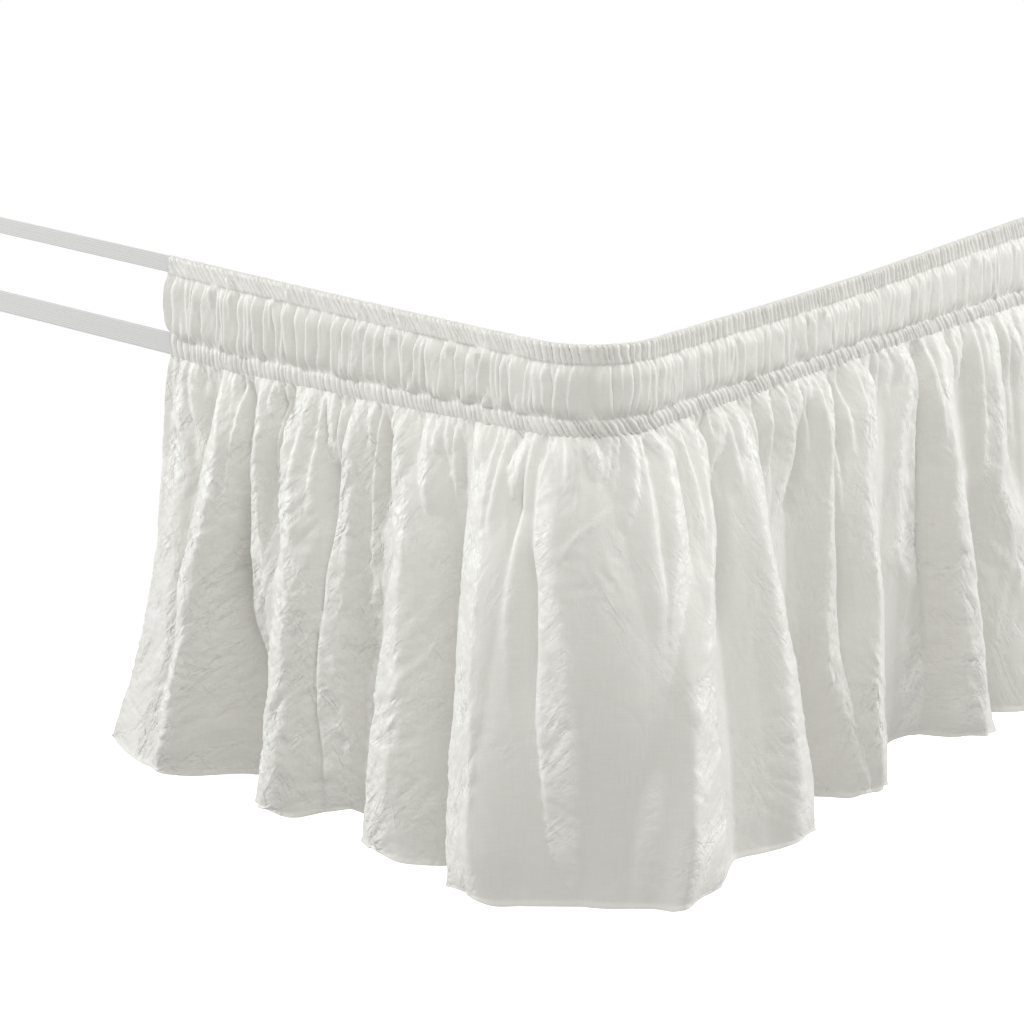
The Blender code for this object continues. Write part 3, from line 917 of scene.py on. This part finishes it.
def ribbed_elastic(name, node, ribs):
    """A flat closed tube: a rounded oblong section, thicker on each rib."""
    low, high = (np.array(c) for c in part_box(node))
    middle, width = (low + high) / 2, high[2] - low[2]
    turn = np.linspace(0, 2 * np.pi, 12 * ribs, endpoint=False)
    across = np.sign(np.cos(turn)) * np.abs(np.cos(turn)) ** 0.8 * width / 2
    edge = unit(1 - np.abs(across / (width / 2)) ** 14)
    rib = 0.5 + 0.5 * np.cos(2 * np.pi * ribs * across / width)
    half = (ELASTIC_THICK / 2) * ((1 - RIB_DEPTH) * np.sqrt(edge) + RIB_DEPTH * edge * rib)
    out = np.sign(np.sin(turn)) * half
    x = np.linspace(low[0] - TUCK, high[0] + TUCK, 61)
    wave = wander(x, 0.00035, 0.05, seed=71)
    y = middle[1] - out + wave[:, None]
    points = np.stack(np.broadcast_arrays(x[:, None], y, middle[2] + across), axis=-1)
    ring = np.arange(len(turn))
    caps = [ring.tolist(), (y.size - 1 - ring).tolist()]
    faces = grid_quads(len(x), len(turn), closed=True).tolist() + caps
    mesh = bpy.data.meshes.new(name)
    mesh.from_pydata(points.reshape(-1, 3).tolist(), [], faces)
    mesh.shade_smooth()
    mesh.set_sharp_from_angle(angle=np.radians(60))
    print(name, "width", round(width * 1000, 1), "mm, length", round(x[-1] - x[0], 3), "m")
    return add_object(name, mesh)


elastic_upper = ribbed_elastic("elastic_upper", "strap_upper", 9)
elastic_lower = ribbed_elastic("elastic_lower", "strap_lower", 12)

# %% [markdown]
# ## Finishes
#
# The cloth is a light crinkled weave, nearly white with a warm cast and a soft
# sheen. The small creases and threads are bump on the flat cloth's UV map, in
# metres, stronger where the crumple attribute is high.
# The crest ribbons and the puffs' crease lines are painted paler, a painted highlight.


# %% Node helpers
def new_finish(name):
    """A new material, its node tree and its shader."""
    made = bpy.data.materials.new(name)
    made.use_nodes = True
    return made, made.node_tree, made.node_tree.nodes["Principled BSDF"]


def feed(node, **values):
    """Set properties, or set or link inputs, by name; an underscore stands for a space."""
    for key, value in values.items():
        if hasattr(node, key):
            setattr(node, key, value)
        elif isinstance(value, bpy.types.NodeSocket):
            node.id_data.links.new(value, node.inputs[key.replace("_", " ")])
        else:
            node.inputs[key.replace("_", " ")].default_value = value
    return node


def add_node(tree, kind, **values):
    """A new shader node, fed from keywords."""
    return feed(tree.nodes.new("ShaderNode" + kind), **values)


def noise_on(vector, scale, detail, roughness=0.5, distortion=0.0):
    """Fractal noise of a vector, 0..1."""
    return add_node(
        vector.id_data, "TexNoise", noise_type="FBM", Vector=vector, Scale=scale,
        Detail=detail, Roughness=roughness, Distortion=distortion,
    ).outputs["Fac"]


def maths(operation, first, second=None):
    """One sum of a socket with a socket or number."""
    node = add_node(first.id_data, "Math", operation=operation)
    for socket, value in zip(node.inputs, (first, second)):
        if isinstance(value, bpy.types.NodeSocket):
            node.id_data.links.new(value, socket)
        elif value is not None:
            socket.default_value = value
    return node.outputs[0]


def tone_on(share, stops):
    """Colour of a share 0..1 between stops, each a place and a colour."""
    node = add_node(share.id_data, "ValToRGB", Fac=share)
    elements = node.color_ramp.elements
    for k, (place, colour) in enumerate(stops):
        stop = elements[k] if k < 2 else elements.new(place)
        stop.position, stop.color = place, (*colour, 1)
    return node.outputs[0]


# %% Crinkle cloth
CREASE_LAYERS = [
    # turn, creases in a metre, how long a crease is for its spacing, weight
    (-0.50, 60.0, 3.5, 1.00),
    (0.45, 95.0, 4.0, 0.70),
    (-0.90, 170.0, 3.5, 0.40),
    (0.90, 290.0, 3.0, 0.22),
]
THREAD_LAYERS = [
    # threads in a metre, squeeze of the flat coordinates: upright slubs, then level ones
    (640.0, (1.0, 0.06, 1.0)),
    (700.0, (0.08, 1.0, 1.0)),
]
CLOTH_AND_HIGHLIGHT_TONES = [
    # share of painted ridge highlight and slub tone, colour
    (0.15, (0.675, 0.667, 0.635)),
    (0.35, (0.722, 0.714, 0.682)),
    (0.85, (0.820, 0.815, 0.790)),  # painted highlight: ridges and crest ribbons paler
]
CREASE_CUT = 0.22  # the folded noise is flat above this
CREASE_DEPTH, THREAD_DEPTH = 0.0016, 0.00013


def crinkle_cloth():
    """Warm white weave: creases where noise is folded about its middle, threads, sheen, and a painted
    highlight on the ridges.
    """
    made, tree, shader = new_finish("ivory_crinkle_cloth")
    uv = add_node(tree, "UVMap", uv_map="flat_cloth").outputs["UV"]
    crumple = add_node(tree, "Attribute", attribute_name="crumple").outputs["Fac"]
    ridge = add_node(tree, "Attribute", attribute_name="ridge").outputs["Fac"]

    creases = None
    for turn, scale, stretch, weight in CREASE_LAYERS:
        turned = add_node(
            tree, "Mapping", vector_type="TEXTURE", Vector=uv,
            Scale=(1.0, stretch, 1.0), Rotation=(0.0, 0.0, turn),
        )
        waves = noise_on(turned.outputs[0], scale, 1.5, distortion=0.7)
        folded = maths("MINIMUM", maths("ABSOLUTE", maths("SUBTRACT", waves, 0.5)), CREASE_CUT)
        layer = maths("MULTIPLY", folded, -4.0 * weight)
        creases = layer if creases is None else maths("ADD", creases, layer)
    patches = add_node(
        tree, "MapRange", Value=noise_on(uv, 26.0, 3.0, 0.6),
        From_Min=0.40, From_Max=0.66, To_Min=0.10,
    ).outputs[0]
    creases = maths("MULTIPLY", creases, maths("MULTIPLY", crumple, patches))

    threads = []
    for scale, squeeze in THREAD_LAYERS:
        squeezed = add_node(tree, "Mapping", Vector=uv, Scale=squeeze)
        threads.append(noise_on(squeezed.outputs[0], scale, 2.0, 0.6))
    slubs = maths("MULTIPLY", maths("ADD", *threads), 0.5)
    creased = add_node(tree, "Bump", Strength=1.0, Distance=CREASE_DEPTH, Height=creases)
    woven = add_node(
        tree, "Bump", Strength=0.5, Distance=THREAD_DEPTH, Height=slubs,
        Normal=creased.outputs[0],
    )

    # Painted highlight: the ridge attribute makes crest ribbons and crease lines paler; the slubs add the
    # threads' own uneven tone.
    ribbon_highlight_and_slubs = maths("MULTIPLY", maths("ADD", maths("MULTIPLY", ridge, patches), slubs), 0.5)
    gloss = add_node(tree, "MapRange", Value=slubs, To_Min=0.52, To_Max=0.42)
    feed(
        shader, Base_Color=tone_on(ribbon_highlight_and_slubs, CLOTH_AND_HIGHLIGHT_TONES), Roughness=gloss.outputs[0],
        Normal=woven.outputs[0], Specular_IOR_Level=0.45, Sheen_Weight=0.25, Sheen_Roughness=0.4,
    )
    return made


def knit_elastic():
    """White knitted elastic: crosswise stitches along the length, matte."""
    made, tree, shader = new_finish("white_knit_elastic")
    place = add_node(tree, "TexCoord").outputs["Object"]
    squeezed = add_node(tree, "Mapping", Vector=place, Scale=(1.0, 1.0, 0.35))
    stitches = noise_on(squeezed.outputs[0], 1400.0, 2.0)
    bump = add_node(tree, "Bump", Strength=0.35, Distance=0.0003, Height=stitches)
    tone = tone_on(stitches, [(0.0, (0.52, 0.52, 0.515)), (1.0, (0.60, 0.60, 0.595))])
    feed(shader, Base_Color=tone, Roughness=0.75, Normal=bump.outputs[0])
    return made


CLOTH = crinkle_cloth()
ELASTIC = knit_elastic()
for piece, *_ in cloth_pieces:
    piece.data.materials.append(CLOTH)
for piece in (elastic_upper, elastic_lower):
    piece.data.materials.append(ELASTIC)

# %% [markdown]
# ## Joining the frame
#
# Every piece rides on the one body and stands for its solid.

# %% Ride and replace
for piece, start, end, depth in cloth_pieces:
    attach(piece, "root")
    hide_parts("skirt_cloth")
for piece, node in ((elastic_upper, "strap_upper"), (elastic_lower, "strap_lower")):
    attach(piece, "root")
    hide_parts(node)

# %% [markdown]
# ## Floor, light and camera
#
# A white studio: pale floor, even sky, and a large soft light on each side, set
# wide so that the flanks of the folds brighten and their fronts stay quiet. A weak
# overhead light fades down the drop. The floor glows white to the eye but sends
# nothing up to the cloth, or the hem would be the brightest part.

# %% Floor
FLOOR_HALF = 12.0
FLOOR_HEIGHT = -0.002
floor_mesh = bpy.data.meshes.new("floor")
floor_corners = [
    (x * FLOOR_HALF, y * FLOOR_HALF, FLOOR_HEIGHT) for x, y in ((-1, -1), (1, -1), (1, 1), (-1, 1))
]
floor_mesh.from_pydata(floor_corners, [], [(0, 1, 2, 3)])
floor = add_object("floor", floor_mesh)
floor_finish, _, floor_shader = new_finish("pale_floor")
feed(
    floor_shader, Base_Color=(0.9, 0.9, 0.9, 1), Roughness=0.9,
    Emission_Color=(1, 1, 1, 1), Emission_Strength=1.0,
)
floor_mesh.materials.append(floor_finish)
floor.visible_diffuse = False
floor.visible_glossy = False

# %% Camera
NEAR_CORNER = Vector((BED_WIDTH / 2, -BED_LENGTH / 2, DROP_TO_FLOOR))
CAMERA_DISTANCE = 2.8
SENSOR_WIDTH = 36.0
FOCAL_PIXELS, PICTURE_PIXELS = 3611, 1024


def bearing(azimuth, elevation):
    """Unit vector from the object to a viewer at these angles."""
    a, e = np.radians(azimuth), np.radians(elevation)
    return Vector((np.sin(a) * np.cos(e), -np.cos(a) * np.cos(e), np.sin(e)))


def aim(thing, place, back):
    """Put a camera or light at a place off the near corner, looking against `back`."""
    thing.location = NEAR_CORNER + place
    thing.rotation_mode = "QUATERNION"
    thing.rotation_quaternion = (-back).to_track_quat("-Z", "Y")


camera_data = bpy.data.cameras.new("camera")
camera = add_object("camera", camera_data)
aim(camera, CAMERA_DISTANCE * bearing(39.232, 15.655), bearing(40.707, 18.186))
camera_data.sensor_width = SENSOR_WIDTH
camera_data.lens = SENSOR_WIDTH * FOCAL_PIXELS / PICTURE_PIXELS
camera_data.clip_end = 3.5  # the far sides of the skirt lie beyond the picture
bpy.context.scene.camera = camera

# %% Lights
LIGHTS = [
    # name, azimuth, elevation, distance, size, watts, colour
    ("left_light", -54, 16, 3.0, 0.8, 49, (0.96, 0.985, 1.0)),
    ("right_light", 139, 16, 3.0, 0.8, 48, (0.97, 0.99, 1.0)),
    ("overhead_light", 42, 50, 1.4, 1.4, 10.2, (0.985, 1.0, 0.985)),
]
for name, azimuth, elevation, distance, size, watts, colour in LIGHTS:
    light = bpy.data.lights.new(name, "AREA")
    light.energy, light.size, light.color = watts, size, colour
    towards = bearing(azimuth, elevation)
    aim(add_object(name, light), distance * towards, towards)

world = bpy.data.worlds.new("studio")
bpy.context.scene.world = world
world.use_nodes = True
sky_tree = world.node_tree
sky = sky_tree.nodes["Background"]
feed(sky, Color=(1.0, 0.985, 0.955, 1), Strength=0.60)
backdrop = add_node(sky_tree, "Background", Color=(1, 1, 1, 1), Strength=1.0)
seen_directly = add_node(sky_tree, "LightPath").outputs["Is Camera Ray"]
either = add_node(sky_tree, "MixShader", Fac=seen_directly)
sky_tree.links.new(sky.outputs[0], either.inputs[1])
sky_tree.links.new(backdrop.outputs[0], either.inputs[2])
feed(sky_tree.nodes["World Output"], Surface=either.outputs[0])
bpy.context.scene.view_settings.view_transform = "Standard"
